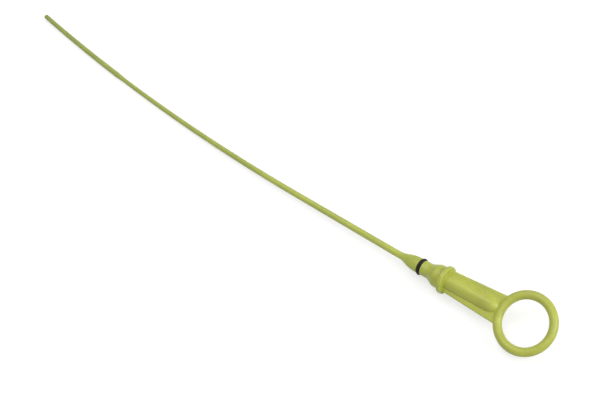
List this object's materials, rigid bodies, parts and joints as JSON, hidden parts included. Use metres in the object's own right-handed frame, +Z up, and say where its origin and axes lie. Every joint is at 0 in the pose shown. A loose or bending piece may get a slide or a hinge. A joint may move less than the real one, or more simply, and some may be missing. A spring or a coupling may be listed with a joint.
{
  "type": "engine oil dipstick",
  "caption": "Moulded plastic engine oil dipstick: a finger ring and webbed grip, a stop collar and sealed plug for the guide tube, and a long slim stick with level marks, bowed to one side.",
  "frame": {"origin": "on the surface that the dipstick lies on, under the middle of its whole length and width", "axes": "+X along the handle from the stick's tip towards the finger ring, +Z up from the surface that it lies on, +Y to the side that the stick bows to"},
  "size_m": [0.4593, 0.0479, 0.0181],
  "materials": {
    "moulded_plastic": "satin, yellow-green, as moulded",
    "seal_rubber": "matt black, as moulded"
  },
  "bodies": {
    "root": {"dipstick_moulding": "moulded_plastic", "seal_ring": "seal_rubber"}
  },
  "joints": []
}
